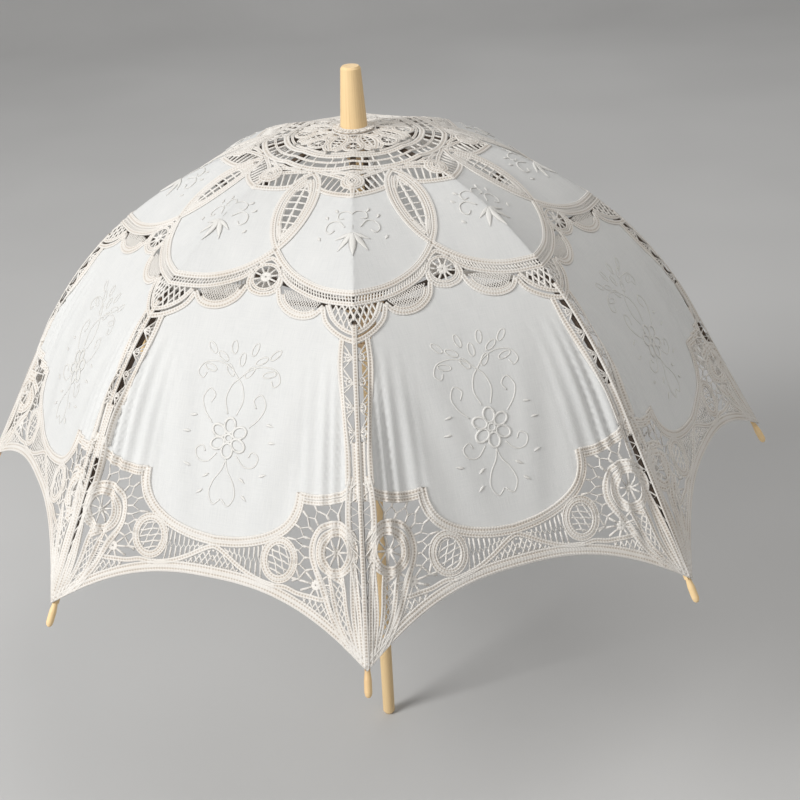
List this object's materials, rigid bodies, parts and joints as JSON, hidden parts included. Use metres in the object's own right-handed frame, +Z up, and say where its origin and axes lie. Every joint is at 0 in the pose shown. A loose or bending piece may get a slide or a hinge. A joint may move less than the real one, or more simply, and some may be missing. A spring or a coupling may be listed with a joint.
{
  "type": "lace parasol",
  "caption": "Open dome parasol with bowed wooden ribs, a sliding runner and stretchers, and a cotton and tape-lace cover with a scalloped hem.",
  "frame": {"origin": "on the shaft's axis, in the middle of the grip, 60 mm above the shaft's lower end", "axes": "+Z up the shaft to the ferrule, -Y towards rib 1, +X towards rib 3"},
  "size_m": [0.7958, 0.7958, 0.73],
  "materials": {
    "pale_wood": "smooth, clear satin",
    "notch_wood": "smooth, clear satin",
    "wire": "drawn wire and stamped plate",
    "cotton_lace": "matt woven cotton with tape lace"
  },
  "bodies": {
    "frame": {"shaft": "pale_wood", "ferrule": "pale_wood", "crown_cap": "cotton_lace", "top_notch": "notch_wood", "notch_wire": "wire"},
    "runner": {"runner": "notch_wood"},
    "upper_catch": {"upper_catch": "wire"},
    "lower_catch": {"lower_catch": "wire"},
    "rib_1": {"rib_inner_1": "pale_wood", "rib_bracket_1": "wire", "canopy_upper_1": "cotton_lace"},
    "rib_end_1": {"rib_outer_1": "pale_wood", "canopy_lower_1": "cotton_lace"},
    "stretcher_1": {"stretcher_1": "pale_wood"},
    "rib_2": {"rib_inner_2": "pale_wood", "rib_bracket_2": "wire", "canopy_upper_2": "cotton_lace"},
    "rib_end_2": {"rib_outer_2": "pale_wood", "canopy_lower_2": "cotton_lace"},
    "stretcher_2": {"stretcher_2": "pale_wood"},
    "rib_3": {"rib_inner_3": "pale_wood", "rib_bracket_3": "wire", "canopy_upper_3": "cotton_lace"},
    "rib_end_3": {"rib_outer_3": "pale_wood", "canopy_lower_3": "cotton_lace"},
    "stretcher_3": {"stretcher_3": "pale_wood"},
    "rib_4": {"rib_inner_4": "pale_wood", "rib_bracket_4": "wire", "canopy_upper_4": "cotton_lace"},
    "rib_end_4": {"rib_outer_4": "pale_wood", "canopy_lower_4": "cotton_lace"},
    "stretcher_4": {"stretcher_4": "pale_wood"},
    "rib_5": {"rib_inner_5": "pale_wood", "rib_bracket_5": "wire", "canopy_upper_5": "cotton_lace"},
    "rib_end_5": {"rib_outer_5": "pale_wood", "canopy_lower_5": "cotton_lace"},
    "stretcher_5": {"stretcher_5": "pale_wood"},
    "rib_6": {"rib_inner_6": "pale_wood", "rib_bracket_6": "wire", "canopy_upper_6": "cotton_lace"},
    "rib_end_6": {"rib_outer_6": "pale_wood", "canopy_lower_6": "cotton_lace"},
    "stretcher_6": {"stretcher_6": "pale_wood"},
    "rib_7": {"rib_inner_7": "pale_wood", "rib_bracket_7": "wire", "canopy_upper_7": "cotton_lace"},
    "rib_end_7": {"rib_outer_7": "pale_wood", "canopy_lower_7": "cotton_lace"},
    "stretcher_7": {"stretcher_7": "pale_wood"},
    "rib_8": {"rib_inner_8": "pale_wood", "rib_bracket_8": "wire", "canopy_upper_8": "cotton_lace"},
    "rib_end_8": {"rib_outer_8": "pale_wood", "canopy_lower_8": "cotton_lace"},
    "stretcher_8": {"stretcher_8": "pale_wood"}
  },
  "joints": [
    {"name": "runner_slide", "type": "slide", "parent": "frame", "child": "runner", "axis": [0, 0, -1], "range_m": [0, 0.28331]},
    {"name": "rib_fold_1", "type": "hinge", "parent": "frame", "child": "rib_1", "pos_m": [0, -0.014, 0.60752], "axis": [1, 0, 0], "range_deg": [0, 64.01], "deforming": ["canopy_upper_1"]},
    {"name": "rib_flex_1", "type": "hinge", "parent": "rib_1", "child": "rib_end_1", "pos_m": [0, -0.22498, 0.52212], "axis": [1, 0, 0], "range_deg": [-30.41, 0], "deforming": ["canopy_lower_1"]},
    {"name": "stretcher_pivot_1", "type": "hinge", "parent": "rib_1", "child": "stretcher_1", "pos_m": [0, -0.22498, 0.52212], "axis": [1, 0, 0], "range_deg": [-128.02, 0]},
    {"name": "rib_fold_2", "type": "hinge", "parent": "frame", "child": "rib_2", "pos_m": [0.0099, -0.0099, 0.60752], "axis": [0.7071, 0.7071, 0], "range_deg": [0, 64.01], "deforming": ["canopy_upper_2"]},
    {"name": "rib_flex_2", "type": "hinge", "parent": "rib_2", "child": "rib_end_2", "pos_m": [0.15908, -0.15908, 0.52212], "axis": [0.7071, 0.7071, 0], "range_deg": [-30.41, 0], "deforming": ["canopy_lower_2"]},
    {"name": "stretcher_pivot_2", "type": "hinge", "parent": "rib_2", "child": "stretcher_2", "pos_m": [0.15908, -0.15908, 0.52212], "axis": [0.7071, 0.7071, 0], "range_deg": [-128.02, 0]},
    {"name": "rib_fold_3", "type": "hinge", "parent": "frame", "child": "rib_3", "pos_m": [0.014, 0, 0.60752], "axis": [0, 1, 0], "range_deg": [0, 64.01], "deforming": ["canopy_upper_3"]},
    {"name": "rib_flex_3", "type": "hinge", "parent": "rib_3", "child": "rib_end_3", "pos_m": [0.22498, 0, 0.52212], "axis": [0, 1, 0], "range_deg": [-30.41, 0], "deforming": ["canopy_lower_3"]},
    {"name": "stretcher_pivot_3", "type": "hinge", "parent": "rib_3", "child": "stretcher_3", "pos_m": [0.22498, 0, 0.52212], "axis": [0, 1, 0], "range_deg": [-128.02, 0]},
    {"name": "rib_fold_4", "type": "hinge", "parent": "frame", "child": "rib_4", "pos_m": [0.0099, 0.0099, 0.60752], "axis": [-0.7071, 0.7071, 0], "range_deg": [0, 64.01], "deforming": ["canopy_upper_4"]},
    {"name": "rib_flex_4", "type": "hinge", "parent": "rib_4", "child": "rib_end_4", "pos_m": [0.15908, 0.15908, 0.52212], "axis": [-0.7071, 0.7071, 0], "range_deg": [-30.41, 0], "deforming": ["canopy_lower_4"]},
    {"name": "stretcher_pivot_4", "type": "hinge", "parent": "rib_4", "child": "stretcher_4", "pos_m": [0.15908, 0.15908, 0.52212], "axis": [-0.7071, 0.7071, 0], "range_deg": [-128.02, 0]},
    {"name": "rib_fold_5", "type": "hinge", "parent": "frame", "child": "rib_5", "pos_m": [0, 0.014, 0.60752], "axis": [-1, 0, 0], "range_deg": [0, 64.01], "deforming": ["canopy_upper_5"]},
    {"name": "rib_flex_5", "type": "hinge", "parent": "rib_5", "child": "rib_end_5", "pos_m": [0, 0.22498, 0.52212], "axis": [-1, 0, 0], "range_deg": [-30.41, 0], "deforming": ["canopy_lower_5"]},
    {"name": "stretcher_pivot_5", "type": "hinge", "parent": "rib_5", "child": "stretcher_5", "pos_m": [0, 0.22498, 0.52212], "axis": [-1, 0, 0], "range_deg": [-128.02, 0]},
    {"name": "rib_fold_6", "type": "hinge", "parent": "frame", "child": "rib_6", "pos_m": [-0.0099, 0.0099, 0.60752], "axis": [-0.7071, -0.7071, 0], "range_deg": [0, 64.01], "deforming": ["canopy_upper_6"]},
    {"name": "rib_flex_6", "type": "hinge", "parent": "rib_6", "child": "rib_end_6", "pos_m": [-0.15908, 0.15908, 0.52212], "axis": [-0.7071, -0.7071, 0], "range_deg": [-30.41, 0], "deforming": ["canopy_lower_6"]},
    {"name": "stretcher_pivot_6", "type": "hinge", "parent": "rib_6", "child": "stretcher_6", "pos_m": [-0.15908, 0.15908, 0.52212], "axis": [-0.7071, -0.7071, 0], "range_deg": [-128.02, 0]},
    {"name": "rib_fold_7", "type": "hinge", "parent": "frame", "child": "rib_7", "pos_m": [-0.014, 0, 0.60752], "axis": [0, -1, 0], "range_deg": [0, 64.01], "deforming": ["canopy_upper_7"]},
    {"name": "rib_flex_7", "type": "hinge", "parent": "rib_7", "child": "rib_end_7", "pos_m": [-0.22498, 0, 0.52212], "axis": [0, -1, 0], "range_deg": [-30.41, 0], "deforming": ["canopy_lower_7"]},
    {"name": "stretcher_pivot_7", "type": "hinge", "parent": "rib_7", "child": "stretcher_7", "pos_m": [-0.22498, 0, 0.52212], "axis": [0, -1, 0], "range_deg": [-128.02, 0]},
    {"name": "rib_fold_8", "type": "hinge", "parent": "frame", "child": "rib_8", "pos_m": [-0.0099, -0.0099, 0.60752], "axis": [0.7071, -0.7071, 0], "range_deg": [0, 64.01], "deforming": ["canopy_upper_8"]},
    {"name": "rib_flex_8", "type": "hinge", "parent": "rib_8", "child": "rib_end_8", "pos_m": [-0.15908, -0.15908, 0.52212], "axis": [0.7071, -0.7071, 0], "range_deg": [-30.41, 0], "deforming": ["canopy_lower_8"]},
    {"name": "stretcher_pivot_8", "type": "hinge", "parent": "rib_8", "child": "stretcher_8", "pos_m": [-0.15908, -0.15908, 0.52212], "axis": [0.7071, -0.7071, 0], "range_deg": [-128.02, 0]},
    {"name": "upper_catch_press", "type": "hinge", "parent": "frame", "child": "upper_catch", "pos_m": [0.00168, -0.00407, 0.36171], "axis": [-0.9239, -0.3827, 0], "range_deg": [0, 6], "stiffness_Nm_per_rad": 0.02},
    {"name": "lower_catch_press", "type": "hinge", "parent": "frame", "child": "lower_catch", "pos_m": [0.00168, -0.00407, 0.0784], "axis": [-0.9239, -0.3827, 0], "range_deg": [0, 6], "stiffness_Nm_per_rad": 0.02}
  ],
  "couplings": [
    {"joint": "rib_fold_1", "follows": "runner_slide", "rad_per_m": 3.9427},
    {"joint": "rib_flex_1", "follows": "runner_slide", "rad_per_m": -1.8728},
    {"joint": "stretcher_pivot_1", "follows": "runner_slide", "rad_per_m": -7.8854},
    {"joint": "rib_fold_2", "follows": "runner_slide", "rad_per_m": 3.9427},
    {"joint": "rib_flex_2", "follows": "runner_slide", "rad_per_m": -1.8728},
    {"joint": "stretcher_pivot_2", "follows": "runner_slide", "rad_per_m": -7.8854},
    {"joint": "rib_fold_3", "follows": "runner_slide", "rad_per_m": 3.9427},
    {"joint": "rib_flex_3", "follows": "runner_slide", "rad_per_m": -1.8728},
    {"joint": "stretcher_pivot_3", "follows": "runner_slide", "rad_per_m": -7.8854},
    {"joint": "rib_fold_4", "follows": "runner_slide", "rad_per_m": 3.9427},
    {"joint": "rib_flex_4", "follows": "runner_slide", "rad_per_m": -1.8728},
    {"joint": "stretcher_pivot_4", "follows": "runner_slide", "rad_per_m": -7.8854},
    {"joint": "rib_fold_5", "follows": "runner_slide", "rad_per_m": 3.9427},
    {"joint": "rib_flex_5", "follows": "runner_slide", "rad_per_m": -1.8728},
    {"joint": "stretcher_pivot_5", "follows": "runner_slide", "rad_per_m": -7.8854},
    {"joint": "rib_fold_6", "follows": "runner_slide", "rad_per_m": 3.9427},
    {"joint": "rib_flex_6", "follows": "runner_slide", "rad_per_m": -1.8728},
    {"joint": "stretcher_pivot_6", "follows": "runner_slide", "rad_per_m": -7.8854},
    {"joint": "rib_fold_7", "follows": "runner_slide", "rad_per_m": 3.9427},
    {"joint": "rib_flex_7", "follows": "runner_slide", "rad_per_m": -1.8728},
    {"joint": "stretcher_pivot_7", "follows": "runner_slide", "rad_per_m": -7.8854},
    {"joint": "rib_fold_8", "follows": "runner_slide", "rad_per_m": 3.9427},
    {"joint": "rib_flex_8", "follows": "runner_slide", "rad_per_m": -1.8728},
    {"joint": "stretcher_pivot_8", "follows": "runner_slide", "rad_per_m": -7.8854}
  ]
}
